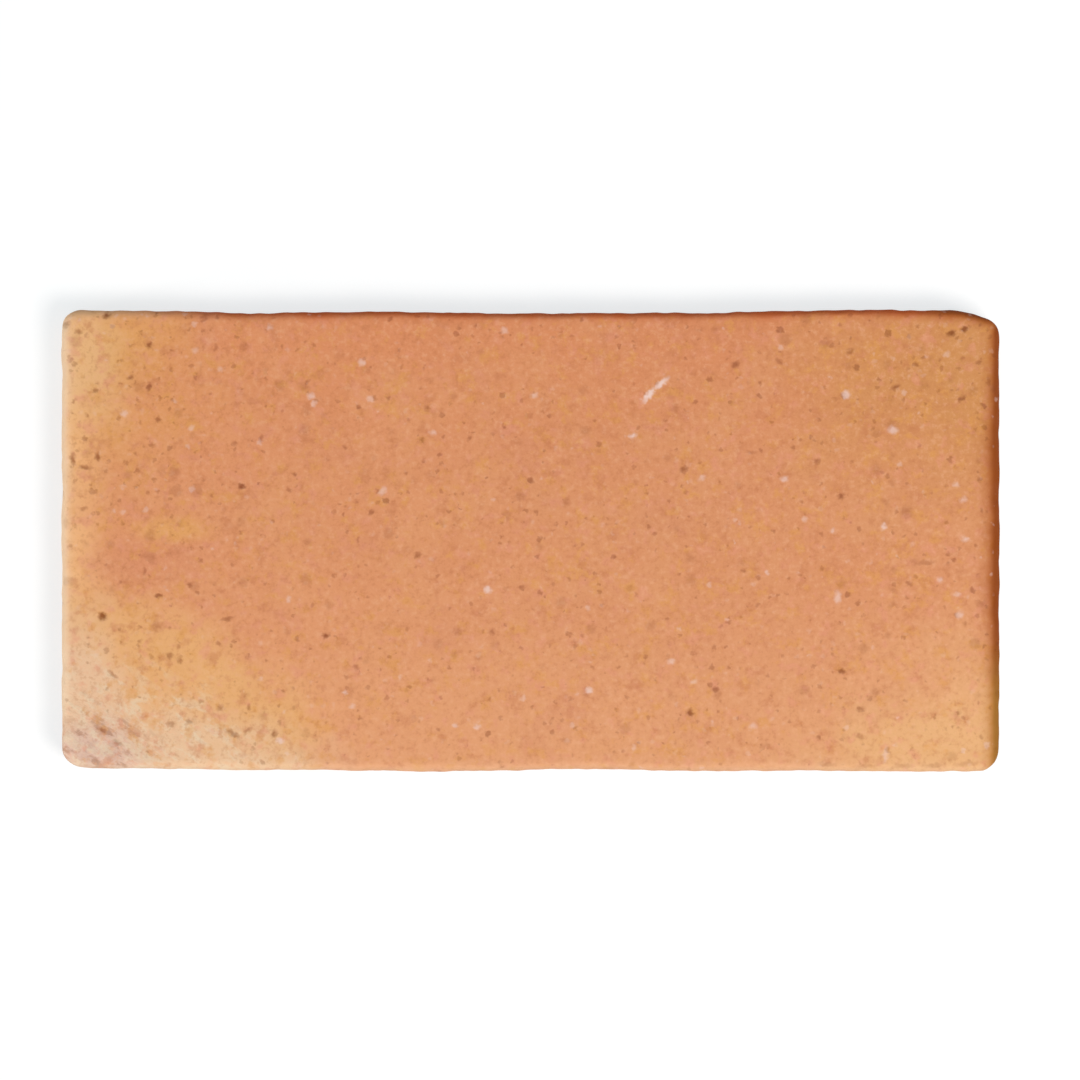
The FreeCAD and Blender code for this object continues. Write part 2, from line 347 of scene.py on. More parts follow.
# %% Displace the patches and the rings
grid_x, grid_y = np.meshgrid(face_x, face_y)
face_points = np.stack([grid_x, grid_y, THICKNESS + face_relief(grid_x, grid_y)], axis=-1)
grid_x, grid_y = np.meshgrid(back_x, back_y)
floor_grain = 0.02 * waves(np.column_stack([grid_x.ravel(), grid_y.ravel()]), 4.0, 7)
hollow = hollow_height(grid_x, grid_y)
hollow += floor_grain.reshape(hollow.shape) * hollow / KEY_DEPTH
back_points = np.stack([grid_x, grid_y, hollow], axis=-1)

lift = np.clip(np.cos(ring_facing), 0, 1)[:, None]
push = np.sin(np.clip(ring_facing, 0, math.pi))[:, None]
swollen = ring_points.reshape(-1, 3)
uneven = 0.06 * waves(swollen, 9.0, 8) + 0.04 * waves(swollen, 3.5, 9)
uneven = uneven.reshape(ring_inset.shape)
dented = face_relief(ring_points[..., 0], ring_points[..., 1])
above_arris = (ring_facing < math.pi / 2 + 0.1)[:, None]
fade = above_arris * eased(ring_points[..., 2], THICKNESS - 5.0, THICKNESS - 1.0)
ring_points[..., 2] += dented * np.maximum(lift, 0.5 * push) * fade
ring_points[..., :2] += outwards * (push * uneven)[..., None]
print(f"face from {face_points[..., 2].min():.2f} to {face_points[..., 2].max():.2f} mm high")

# %% [markdown]
# ## Weaving the mesh
# A mesh is a list of points and a list of faces that name their corners. Blender's bridge tool
# could join ring to ring, but here every point has a known number, so the faces follow from
# the numbers alone, as whole arrays.

# %% Weave the faces
def weave():
    """The faces of the mesh, four corners each, turned so that they all point outwards."""
    patch = np.arange((ACROSS + 1) * (ALONG + 1)).reshape(ACROSS + 1, ALONG + 1)
    quads = np.stack([patch[:-1, :-1], patch[:-1, 1:], patch[1:, 1:], patch[1:, :-1]], axis=-1)
    rim_of_patch = np.concatenate([patch[0, :-1], patch[:-1, -1], patch[-1, :0:-1], patch[:0:-1, 0]])
    start = patch.size
    band = start + np.arange(ring_inset.size).reshape(ring_inset.shape)
    band = np.vstack([rim_of_patch, band, start + ring_inset.size + rim_of_patch])
    following = np.roll(band, -1, axis=1)
    sides = np.stack([band[:-1], band[1:], following[1:], following[:-1]], axis=-1)
    under = quads[..., ::-1] + start + ring_inset.size
    return np.vstack([part.reshape(-1, 4) for part in (quads, sides, under)])


all_points = np.vstack([part.reshape(-1, 3) for part in (face_points, ring_points, back_points)])
all_faces = weave()
print(f"{len(all_points)} points, {len(all_faces)} faces with four corners")


# %% Make the object, and test that it is closed
def mesh_object(name, points, faces):
    """A smooth mesh object of four-cornered faces, its points given in millimetres."""
    mesh = bpy.data.meshes.new(name)
    mesh.vertices.add(len(points))
    mesh.vertices.foreach_set("co", (points * MM).astype(np.float32).ravel())
    mesh.loops.add(faces.size)
    mesh.loops.foreach_set("vertex_index", faces.astype(np.int32).ravel())
    mesh.polygons.add(len(faces))
    mesh.polygons.foreach_set("loop_start", np.arange(0, faces.size, 4, dtype=np.int32))
    mesh.update(calc_edges=True)
    mesh.polygons.foreach_set("use_smooth", np.ones(len(faces), bool))
    thing = bpy.data.objects.new(name, mesh)
    bpy.context.scene.collection.objects.link(thing)
    return thing


def closed_volume(points, faces):
    """Whether every edge joins two faces that run along it opposite ways, and the volume.

    The volume is the sum over triangles of a . (b x c) / 6, positive if they face outwards.
    """
    there = (faces * np.int64(len(points)) + np.roll(faces, -1, axis=1)).ravel()
    back = (np.roll(faces, -1, axis=1) * np.int64(len(points)) + faces).ravel()
    matched = len(np.unique(there)) == there.size and np.array_equal(np.sort(there), np.sort(back))
    a, b, c, d = points[faces].transpose(1, 0, 2)
    cubic_mm = (a * (np.cross(b, c) + np.cross(c, d))).sum() / 6
    return matched, cubic_mm / 1000


tile = mesh_object("pressed_slab", all_points, all_faces)
closed, cubic_cm = closed_volume(all_points, all_faces)
print(f"{2 * len(all_faces)} triangles, closed: {closed}, {cubic_cm:.1f} cm3")

# %% [markdown]
# ## What the kiln left round the edge, and painted light and shade
# The right edge is toasted dark brown, and that brown is partly painted shade on the right
# shoulder. The back edge is flashed orange. The left edge kept a pale lime bloom, which is
# partly painted light; the front edge and the back edge near the left corner carry painted
# light alone, in the same bloom. All three follow the rim and not the room, so they are
# stored on the mesh: three numbers for each point, made from how far in from the outline
# the point lies.

# %% Toast and painted shade, flash, and bloom and painted light, stored point by point
def store(thing, name, values, kind="FLOAT", domain="POINT", field="value"):
    """Named numbers on each point or face of a mesh, for its material to read."""
    layer = thing.data.attributes.new(name, kind, domain)
    layer.data.foreach_set(field, values.astype(np.float32).ravel())


STRONGEST = 1.2
LEFT_AT_THE_FOOT = 0.45
FOOT_OF_THE_WALL = 1.0


def round_the_rim(strength, reach):
    """A value for every point: strength * exp(-(inset / reach)**1.5), and less lower down."""
    inwards = strength * np.exp(-((np.maximum(ring_inset, 0) / reach) ** 1.5))
    up_the_wall = eased(ring_points[..., 2], FOOT_OF_THE_WALL, THICKNESS - SHOULDER_LIFT)
    inwards *= LEFT_AT_THE_FOOT + (1 - LEFT_AT_THE_FOOT) * up_the_wall
    whole = np.zeros(len(all_points))
    first = face_points[..., 0].size
    whole[first : first + ring_inset.size] = inwards.ravel()
    return np.clip(whole, 0, STRONGEST)


ragged = 1 + 0.06 * waves(edge, 14.0, 10) + 0.04 * waves(edge, 5.0, 11)
# Toast: a toasted brown on the right edge and the back right corner, partly painted shade on the right
# shoulder.
toast_and_shade_reach = 2.5 + 0.5 * eased(edge[:, 1], -34, -8) - 0.7 * eased(edge[:, 1], 22, 45)
slump_toast_and_shade = to_back * eased(edge[:, 0], 80, 92)
toast_and_painted_shade = round_the_rim(np.maximum(to_right**1.5 * STRONGEST, slump_toast_and_shade), toast_and_shade_reach * ragged)
from_corner = eased(edge[:, 0], -97, -55)
flash = round_the_rim(to_back**3 * (0.15 + 0.8 * from_corner) * ragged, 1.5 * ragged)
# Bloom: partly a pale lime bloom on the left edge and partly painted light there; on the front edge and along
# the back near the left corner it is painted light alone.
left_bloom_and_light = to_left**2 * (0.25 + 0.6 * eased(edge[:, 1], -45, -34))
back_painted_light = 0.45 * to_back**3 * (1 - from_corner)
bloom_and_painted_light = round_the_rim(left_bloom_and_light + 0.35 * to_front**3 + back_painted_light, 1.9 * ragged)
for name, values in (("toast_and_painted_shade", toast_and_painted_shade), ("flash", flash), ("bloom_and_painted_light", bloom_and_painted_light)):
    store(tile, name, values)
    print(f"{name}: {np.count_nonzero(values > 0.5)} points above a half")

# %% [markdown]
# ## Marks in a known place
# Some grains and pits can be recognised one by one, such as a curled white straw and a few
# dark pits by the left edge. Each is an ellipse on the face with its own place, size and
# turn. Drawing every ellipse in the shader would make it slow, so each small face of the mesh
# is told which one mark lies nearest to it, and the shader draws only that one.

# %% The marks
# x, y, half length, half width, turn in degrees, strength
DARK_MARKS = (
    (-91.2, -16.0, 1.0, 0.9, 0, 1.2), (-90.4, 48.0, 1.0, 0.8, 20, 1.1),
    (-96.3, 44.6, 0.8, 0.7, 0, 0.7), (-99.0, 46.2, 1.0, 0.7, 45, 0.6),
    (-81.2, 41.8, 0.8, 0.75, 0, 1.0), (-81.2, 32.9, 0.9, 0.6, 80, 0.9),
    (-85.2, 34.8, 0.65, 0.6, 0, 0.9), (-92.7, 32.2, 0.65, 0.6, 0, 0.8),
    (-87.0, 38.4, 0.6, 0.5, 0, 0.5), (-79.4, 26.0, 0.7, 0.6, 0, 0.8),
    (-94.9, 21.8, 0.6, 0.6, 0, 0.7), (-69.6, 47.6, 0.9, 0.8, 0, 0.5),
    (-67.0, 41.3, 0.6, 0.9, 0, 0.5), (-72.2, 37.4, 0.7, 0.5, 0, 0.5),
    (-80.6, 20.4, 0.8, 0.6, 0, 0.6), (-76.8, 19.8, 0.8, 0.5, 20, 0.6),
    (-57.4, 21.8, 0.6, 0.8, 0, 0.6), (-39.6, 20.1, 0.6, 0.5, 0, 0.5),
    (-47.7, 33.7, 1.3, 0.5, 50, 0.6), (-61.5, 11.7, 1.0, 0.6, -5, 1.1),
    (-51.4, 11.0, 0.7, 0.6, 0, 0.6), (-36.8, 28.6, 0.7, 0.6, 0, 0.8),
    (-34.0, 6.0, 0.9, 0.5, 50, 0.7), (-22.0, 28.2, 0.8, 0.6, 0, 0.6),
    (-19.5, 18.4, 0.5, 0.5, 0, 0.6), (-13.0, 22.0, 0.7, 0.5, 45, 0.6),
    (0.0, 13.0, 0.8, 0.5, -20, 0.8), (43.6, 37.6, 1.0, 0.8, 20, 0.8),
    (53.0, 38.2, 1.1, 0.6, -30, 0.5), (68.0, 40.4, 1.0, 0.6, 30, 0.6),
    (77.8, 32.8, 1.1, 0.6, 25, 0.8), (82.0, 37.6, 0.7, 0.6, 0, 0.7),
    (89.6, 44.3, 1.0, 0.8, 10, 1.1), (92.4, 45.1, 1.0, 0.7, 10, 1.1),
    (91.8, 30.3, 1.1, 0.6, 40, 0.8), (95.4, 38.0, 0.7, 0.6, 0, 0.6),
    (97.6, 33.8, 0.6, 1.4, 0, 0.5), (32.6, 15.2, 1.0, 0.7, 30, 0.8),
    (47.0, 18.8, 1.2, 0.5, 0, 0.4), (61.0, 17.0, 0.7, 0.6, 0, 0.7),
    (66.2, 9.6, 0.9, 0.75, 0, 0.9), (95.6, 13.0, 0.6, 0.6, 0, 0.6),
    (66.2, -27.7, 1.0, 0.75, 0, 1.0), (70.3, -35.8, 1.0, 0.6, 0, 0.7),
    (70.0, -41.6, 1.0, 0.6, -30, 0.5), (34.0, -36.5, 0.9, 1.0, 20, 1.1),
    (39.4, -31.6, 0.9, 0.7, 0, 0.8), (39.0, -22.6, 0.5, 0.7, 0, 0.5),
    (91.0, -36.6, 0.6, 0.6, 0, 0.6), (94.0, -10.4, 0.7, 0.6, 0, 0.7),
    (80.6, -9.0, 0.8, 0.6, 0, 0.6), (84.0, -4.6, 2.2, 0.6, 5, 0.45),
    (-43.6, -20.1, 0.8, 0.7, 0, 1.1), (-37.2, -26.8, 0.7, 0.6, 0, 0.6),
    (-8.2, -19.3, 0.8, 0.7, 0, 0.6), (-24.0, -3.0, 0.8, 0.7, 0, 0.7),
    (-79.2, -11.7, 0.9, 0.6, 5, 1.0), (-72.6, -9.2, 0.8, 0.6, 0, 0.8),
    (-71.0, -10.9, 0.6, 0.5, 0, 0.6), (-82.2, -6.4, 0.5, 1.0, -20, 0.6),
    (-98.0, -1.0, 0.7, 0.5, 0, 0.5), (-76.8, -24.2, 0.8, 0.8, 0, 0.7),
    (-74.7, -25.3, 0.6, 0.8, 0, 0.6), (-66.4, -21.8, 0.7, 0.6, 0, 0.6),
    (-88.8, -28.6, 1.4, 0.5, -35, 0.6), (-66.2, -35.4, 0.8, 0.7, 0, 0.7),
    (-60.0, -35.3, 0.5, 0.7, 0, 0.7), (-76.4, -39.0, 1.0, 0.6, -15, 0.6),
    (-72.6, -38.4, 0.8, 0.6, 0, 0.7), (-54.6, -41.0, 0.8, 0.9, 0, 0.9),
    (-87.9, -42.9, 1.5, 0.5, -35, 0.6), (-63.4, -40.9, 1.9, 0.6, -32, 0.8),
    (-60.2, -40.4, 1.3, 0.5, 45, 0.5), (-64.6, -16.6, 1.7, 0.5, 14, 0.7),
    (-95.1, 7.0, 0.9, 0.5, 30, 0.6), (-97.5, 17.4, 0.7, 1.5, 8, 1.0),
    (-92.2, 18.0, 0.65, 1.0, -8, 1.0), (-94.9, 15.6, 1.5, 0.55, -8, 0.9),
    (-98.0, 38.6, 0.6, 0.5, 0, 0.5), (63.0, -47.7, 2.2, 0.60, -4, 0.38),
    (71.5, -48.0, 2.8, 0.60, 2, 0.34), (79.5, -47.9, 2.4, 0.60, 0, 0.40),
    (86.0, -47.8, 2.8, 0.60, 3, 0.42), (92.6, -47.5, 2.6, 0.60, 6, 0.40),
)
PALE_MARKS = (
    (25.3, 31.2, 2.3, 0.75, 52, 1.5), (27.8, 33.5, 2.0, 0.7, 40, 1.4),
    (21.7, 22.4, 0.9, 0.7, 0, 1.1), (-9.2, -10.3, 0.9, 0.9, 0, 1.1),
    (0.8, 31.0, 0.8, 0.7, 0, 0.7), (75.2, 3.0, 0.8, 0.8, 0, 1.0),
    (67.2, 31.2, 0.9, 1.0, 0, 1.0), (77.2, 23.6, 1.1, 0.9, -25, 0.9),
    (54.0, 13.2, 0.9, 0.7, 0, 0.8), (12.5, -31.8, 0.9, 0.8, 0, 1.0),
    (29.9, -25.6, 0.9, 0.7, 0, 0.7), (65.4, -12.0, 0.8, 1.4, 0, 0.8),
    (-46.8, 30.9, 0.9, 0.9, 0, 0.8), (-46.2, 29.4, 0.6, 0.8, 0, 0.7),
    (-35.9, 38.0, 0.9, 0.8, 0, 0.8), (-34.2, 30.4, 1.0, 0.7, -35, 0.6),
    (-71.4, 40.6, 0.8, 0.7, 0, 0.5), (-86.6, 27.2, 0.9, 0.8, 0, 0.7),
    (-72.2, 24.0, 0.7, 0.6, 0, 0.6), (-20.8, 23.0, 0.9, 0.7, 0, 0.6),
    (-31.5, 10.6, 1.1, 0.8, 40, 0.7), (-55.6, 45.4, 0.8, 0.7, 0, 0.6),
    (-53.4, -42.6, 0.9, 0.8, 0, 1.0), (-39.6, -32.2, 0.6, 0.6, 0, 0.7),
    (-38.0, -35.2, 0.7, 0.6, 0, 0.6), (-11.4, -39.6, 0.8, 0.7, 0, 0.8),
    (-16.1, -39.2, 0.7, 0.6, 0, 0.7), (-51.6, -12.4, 0.6, 0.6, 0, 0.6),
    (34.8, -30.0, 0.9, 0.6, 0, 0.6), (-5.6, 44.8, 0.9, 0.8, 0, 0.6),
    (92.6, 0.4, 0.9, 0.8, 0, 0.8), (92.2, 8.8, 0.9, 0.7, 0, 0.6),
    (87.2, -8.2, 0.8, 0.7, 0, 0.7), (90.8, -11.4, 0.8, 0.6, 0, 0.6),
    (91.4, -15.8, 0.9, 0.9, 0, 0.7), (90.6, 12.0, 0.9, 0.7, 0, 0.6),
    (58.4, 4.6, 0.8, 0.7, 0, 0.6), (64.4, 2.2, 0.6, 0.6, 0, 0.7),
    (36.6, 13.4, 0.9, 0.7, 30, 0.6), (50.4, -6.8, 0.6, 0.6, 0, 0.7),
    (88.6, 39.8, 0.8, 0.7, 0, 0.5), (47.4, -39.4, 0.9, 0.7, 0, 0.6),
    (75.6, -45.6, 0.6, 1.8, -10, 0.6), (31.8, -18.6, 0.6, 0.5, 0, 0.5),
)
print(len(DARK_MARKS), "dark marks and", len(PALE_MARKS), "pale ones")


# %% Which mark each face carries
def nearest_marks():
    """For each face of the mesh, the index of the mark that lies nearest to its middle.

    Near is measured in the mark's own size: |turned (x, y) / (half length, half width)|.
    """
    middles = all_points[all_faces].mean(axis=1)
    best = np.full(len(middles), np.inf)
    chosen = np.zeros(len(middles), int)
    for number, (x, y, half_length, half_width, turn, strength) in enumerate(DARK_MARKS + PALE_MARKS):
        cosine, sine = math.cos(math.radians(turn)), math.sin(math.radians(turn))
        east, north = middles[:, 0] - x, middles[:, 1] - y
        along, across = east * cosine + north * sine, north * cosine - east * sine
        away = np.hypot(along / half_length, across / half_width)
        chosen = np.where(away < best, number, chosen)
        best = np.minimum(away, best)
    return chosen, middles[:, 2] > THICKNESS - SHOULDER_LIFT


marks = np.array(DARK_MARKS + PALE_MARKS)
marks[: len(DARK_MARKS), 5] *= -1
nearest, on_top = nearest_marks()
near = marks[nearest]
place = np.column_stack([near[:, 0], near[:, 1], np.radians(near[:, 4])])
form = np.column_stack([near[:, 2], near[:, 3], near[:, 5] * on_top])
for name, rows in (("mark_place", place), ("mark_form", form)):
    store(tile, name, rows, "FLOAT_VECTOR", "FACE", "vector")
print(np.count_nonzero(on_top), "faces can show their mark")

# %% [markdown]
# ## Building blocks for the finish
# The colour of this tile isn't on it but in it: clay, grog and iron specks are mixed through
# the body, so every pattern is worked out in space from Object coordinates and a chip shows
# the same speckle as the face. An image would have to be wrapped round the edges, and its
# grains would stretch. A few short functions keep the node trees readable.

# %% Short ways to build node trees
def srgb(red, green, blue):
    """A colour given as 0 to 255 on a paint chart, in the linear values that nodes take."""
    parts = np.array([red, green, blue]) / 255
    linear = np.where(parts <= 0.04045, parts / 12.92, ((parts + 0.055) / 1.055) ** 2.4)
    return (*[float(part) for part in linear], 1.0)


def feed(tree, socket, value):
    """Gives an input its value: another socket is linked to it, anything else is set."""
    if isinstance(value, bpy.types.NodeSocket):
        tree.links.new(value, socket)
    else:
        socket.default_value = value


def put(tree, kind, settings=None, **inputs):
    """A node with some of its inputs fed. An input goes by its name, or as i0, i1 and so on."""
    node = tree.nodes.new("ShaderNode" + kind)
    for name, value in (settings or {}).items():
        setattr(node, name, value)
    for name, value in inputs.items():
        feed(tree, node.inputs[int(name[1:]) if name[1:].isdigit() else name], value)
    return node


def maths(tree, operation, first, second=0.0):
    """One step of arithmetic on one or two values."""
    return put(tree, "Math", {"operation": operation}, i0=first, i1=second).outputs[0]


def vectors(tree, operation, first, second):
    """One step of arithmetic on two vectors."""
    return put(tree, "VectorMath", {"operation": operation}, i0=first, i1=second).outputs[0]


def blend(tree, share, first, second, kind="MIX"):
    """Two colours mixed by a share from 0 to 1."""
    node = put(tree, "Mix", {"data_type": "RGBA", "blend_type": kind}, i0=share, i6=first, i7=second)
    return node.outputs[2]


def ease(tree, value, start, end, first=0.0, last=1.0):
    """`first` before start, `last` after end, with a smooth S between."""
    smooth = {"interpolation_type": "SMOOTHSTEP"}
    return put(tree, "MapRange", smooth, i0=value, i1=start, i2=end, i3=first, i4=last).outputs[0]


def cloud(tree, where, size, detail=2.0, roughness=0.5, seed=0.0):
    """Soft noise about 0.5, with features about `size` millimetres across."""
    moved = vectors(tree, "ADD", where, (seed, 1.7 * seed, 2.3 * seed))
    return put(tree, "TexNoise", Vector=moved, Scale=1 / size, Detail=detail, Roughness=roughness).outputs[0]


print(f"mid grey is {srgb(128, 128, 128)[0]:.3f} in linear light")

# %% [markdown]
# ## Grains in the body
# Grog, iron and lime are scattered grains. A Voronoi texture gives one point for each cell of
# space and a random colour to go with it. The random colour decides whether that cell holds a
# grain at all and how large it is. Copies of these nodes could be made for few large grains
# and for many small ones, but one group with named inputs serves them all.

# %% The grain group
def group(name, inputs, outputs):
    """An empty node group with named sockets, and its input and output nodes."""
    tree = bpy.data.node_groups.new(name, "ShaderNodeTree")
    for label, kind, value in inputs:
        socket = tree.interface.new_socket(label, in_out="INPUT", socket_type="NodeSocket" + kind)
        socket.default_value = value
    for label, kind in outputs:
        tree.interface.new_socket(label, in_out="OUTPUT", socket_type="NodeSocket" + kind)
    return tree, tree.nodes.new("NodeGroupInput").outputs, tree.nodes.new("NodeGroupOutput").inputs


def use(tree, made, **inputs):
    """Places a node group in a tree with some of its inputs fed, and returns its outputs."""
    node = tree.nodes.new("ShaderNodeGroup")
    node.node_tree = made
    for name, value in inputs.items():
        feed(tree, node.inputs[name], value)
    return node.outputs


grains, given, made = group(
    "grains",
    [("Place", "Vector", (0, 0, 0)), ("Spacing", "Float", 3.0), ("Share", "Float", 0.5),
     ("Radius", "Float", 0.4), ("Softness", "Float", 0.2)],
    [("Mask", "Float")],
)
cells = put(grains, "TexVoronoi", Vector=given["Place"], Scale=maths(grains, "DIVIDE", 1.0, given["Spacing"]))
apart = maths(grains, "MULTIPLY", cells.outputs["Distance"], given["Spacing"])
lots = put(grains, "SeparateColor", Color=cells.outputs["Color"]).outputs
radius = maths(grains, "MULTIPLY", given["Radius"], maths(grains, "ADD", 0.45, lots[1]))
inner = maths(grains, "SUBTRACT", radius, given["Softness"])
outer = maths(grains, "ADD", radius, given["Softness"])
inside = ease(grains, apart, outer, inner)
chosen = maths(grains, "LESS_THAN", lots[0], given["Share"])
weight = maths(grains, "MULTIPLY", chosen, maths(grains, "ADD", 0.4, maths(grains, "MULTIPLY", lots[2], 0.6)))
grains.links.new(maths(grains, "MULTIPLY", inside, weight), made["Mask"])
print("grain group:", len(grains.nodes), "nodes")

# %% [markdown]
# ## The mark group
# A mark could be a thin disc laid on the face, but its edge would show. This group reads the
# place and form that the mesh carries, and draws that one ellipse in the clay itself.

# %% Draw the mark that a face carries
mark, given, made = group("mark", [("Place", "Vector", (0, 0, 0))], [("Dark", "Float"), ("Pale", "Float")])
carried = put(mark, "Attribute", {"attribute_name": "mark_place"}).outputs["Vector"]
carried = put(mark, "SeparateXYZ", Vector=carried).outputs
form = put(mark, "Attribute", {"attribute_name": "mark_form"}).outputs["Vector"]
form = put(mark, "SeparateXYZ", Vector=form).outputs
centre = put(mark, "CombineXYZ", X=carried[0], Y=carried[1], Z=0.0).outputs[0]
level = vectors(mark, "MULTIPLY", given["Place"], (1, 1, 0))
local = vectors(mark, "SUBTRACT", level, centre)
back_turn = maths(mark, "MULTIPLY", carried[2], -1.0)
turned = put(mark, "VectorRotate", {"rotation_type": "Z_AXIS"}, Vector=local, Angle=back_turn).outputs[0]
size = put(mark, "CombineXYZ", X=form[0], Y=form[1], Z=1.0).outputs[0]
shrunk = vectors(mark, "DIVIDE", turned, size)
away = put(mark, "VectorMath", {"operation": "LENGTH"}, i0=shrunk).outputs[1]
drawn = ease(mark, away, 1.4, 0.2)
dark = maths(mark, "MAXIMUM", maths(mark, "MULTIPLY", form[2], -1.0), 0.0)
pale = maths(mark, "MAXIMUM", form[2], 0.0)
mark.links.new(maths(mark, "MULTIPLY", drawn, dark), made["Dark"])
mark.links.new(maths(mark, "MULTIPLY", drawn, pale), made["Pale"])
print("mark group:", len(mark.nodes), "nodes")

# %% [markdown]
# ## Patches of flame
# The kiln's flame left whole corners of the face paler and yellower than the middle, with
# borders that wander. A patch is an ellipse again, but tens of millimetres wide, and its
# border is moved in and out by a broad noise that all the patches share.

# %% The patch group
patch, given, made = group(
    "patch",
    [("Place", "Vector", (0, 0, 0)), ("Centre", "Vector", (0, 0, 0)), ("Size", "Vector", (10, 10, 40)),
     ("Inner", "Float", 0.5), ("Outer", "Float", 1.2), ("Stray", "Float", 0.0), ("Wander", "Float", 0.5)],
    [("Mask", "Float")],
)
local = vectors(patch, "SUBTRACT", given["Place"], given["Centre"])
shrunk = vectors(patch, "DIVIDE", local, given["Size"])
away = put(patch, "VectorMath", {"operation": "LENGTH"}, i0=shrunk).outputs[1]
strayed = put(patch, "Math", {"operation": "MULTIPLY_ADD"}, i0=given["Stray"], i1=given["Wander"], i2=away)
patch.links.new(ease(patch, strayed.outputs[0], given["Outer"], given["Inner"]), made["Mask"])
print("patch group:", len(patch.nodes), "nodes")

# %% [markdown]
# ## The body of the tile
# The clay is a warm orange, and painted light makes it a little paler towards the front.
# Broad clouds wander through it. Each cloud could have a noise of its own, but one noise
# already gives three independent values in the red, green and blue of its colour, and that
# costs a third as much. The material is built from here on, one cell for each thing that
# happened to the clay.

# %% The body colour and its broad clouds
def broad_clouds(tree, at):
    """Three slow values that wander about 0: the colour of one noise, less a half."""
    broad = put(tree, "TexNoise", Vector=at, Scale=1 / 13, Detail=4.0, Roughness=0.62).outputs[1]
    centred = vectors(tree, "SUBTRACT", broad, (0.5, 0.5, 0.5))
    return put(tree, "SeparateXYZ", Vector=centred).outputs


def body_colour(tree, spot, stray):
    """Orange from back to front, paler at the front as painted light, with pale clouds and pinkish ones."""
    # Painted light: the body is made a little paler towards the front, where the lamp stands.
    colour = blend(tree, ease(tree, spot[1], WIDTH / 2, 5.0), srgb(218, 139, 93), srgb(219, 145, 99))
    colour = blend(tree, ease(tree, spot[1], 0.0, -WIDTH / 2), colour, srgb(226, 157, 110))
    colour = blend(tree, ease(tree, stray[2], -0.1, 0.2, 0.0, 0.4), colour, srgb(224, 156, 106))
    return blend(tree, ease(tree, stray[0], 0.02, 0.25, 0.0, 0.45), colour, srgb(212, 138, 100))


porcelain = bpy.data.materials.new("speckled_terracotta_porcelain")
porcelain.use_nodes = True
clay = porcelain.node_tree
place = put(clay, "TexCoord").outputs["Object"]
at = put(clay, "VectorMath", {"operation": "SCALE"}, i0=place, i3=1 / MM).outputs[0]
spot = put(clay, "SeparateXYZ", Vector=at).outputs
stray = broad_clouds(clay, at)
colour = body_colour(clay, spot, stray)
print("body:", len(clay.nodes), "nodes")

# %% [markdown]
# ## Where the flame touched the face
# Gold and cream corners could be painted by hand on a map. Here each is one patch, with a
# centre and a size in millimetres and its own paint, so a change is a change of one number.

# %% Lay the flame patches over the body
# centre, size, where the border starts and ends, how much it wanders, share, colour
FLAMES = (
    ((-101.0, 40.0), (38.0, 34.0), 0.1, 1.1, 0.9, 0.78, (225, 164, 92)),
    ((-102.0, 38.0), (17.0, 25.0), 0.2, 1.2, 0.9, 0.8, (231, 183, 130)),
    ((-101.5, -6.0), (12.0, 60.0), 0.2, 1.2, 0.9, 0.85, (240, 182, 124)),
    ((94.0, 36.0), (44.0, 34.0), 0.1, 1.2, 0.9, 0.75, (207, 143, 80)),
    ((-79.0, -4.0), (15.0, 6.0), 0.2, 1.2, 1.0, 0.5, (214, 138, 100)),
    ((-76.0, 2.6), (10.0, 3.2), 0.2, 1.2, 1.0, 0.6, (226, 166, 92)),
    ((-100.0, -52.0), (58.0, 43.0), 0.80, 1.08, 0.5, 0.9, (228, 170, 110)),
    ((-102.0, -38.0), (22.0, 26.0), 0.45, 1.15, 0.9, 0.85, (232, 192, 156)),
    ((-80.0, -51.0), (38.0, 18.0), 0.45, 1.15, 0.9, 0.85, (232, 193, 155)),
    ((-98.0, -49.0), (18.0, 12.5), 0.5, 1.2, 1.0, 0.85, (215, 178, 160)),
    ((100.0, -53.0), (48.0, 37.0), 0.3, 1.12, 0.8, 0.85, (233, 178, 121)),
)
PATCH_DEPTH = 40.0
LEFT_LIFT = 1.08


def on_the_face(tree, at, centre, size, inner, outer, stray, wander):
    """The mask of one patch whose centre lies on the face."""
    return use(tree, patch, Place=at, Centre=(*centre, THICKNESS), Size=(*size, PATCH_DEPTH),
               Inner=inner, Outer=outer, Stray=stray, Wander=wander)[0]


def with_flames(tree, at, spot, stray, colour):
    """Every patch in turn, and then a body that is a little paler towards the left."""
    for number, (centre, size, inner, outer, wander, share, paint) in enumerate(FLAMES):
        mask = on_the_face(tree, at, centre, size, inner, outer, stray[number % 3], wander)
        colour = blend(tree, maths(tree, "MULTIPLY", mask, share), colour, srgb(*paint))
    leftwards = ease(tree, spot[0], 55.0, -LENGTH / 2)
    return blend(tree, leftwards, colour, (LEFT_LIFT, LEFT_LIFT, LEFT_LIFT, 1.0), "MULTIPLY")


colour = with_flames(clay, at, spot, stray, colour)
print(len(FLAMES), "flame patches, and now", len(clay.nodes), "nodes")

# %% [markdown]
# ## Wisps and creases in the left front corner, with painted light and shade
# The clay was dragged across this corner, which left pale wisps with brown creases between
# them. Both come from one noise, turned and then stretched: its high values are the wisps
# and its low ones the creases. The same noise wrinkles the relief of the corner, so the pale
# wisps are partly a painted highlight on the crests and the brown creases partly painted
# shade in the troughs.

# %% Draw the wisps and creases
WISP_SLANT = math.radians(32)
WISP_STRETCH = (0.16, 0.36, 0.3)


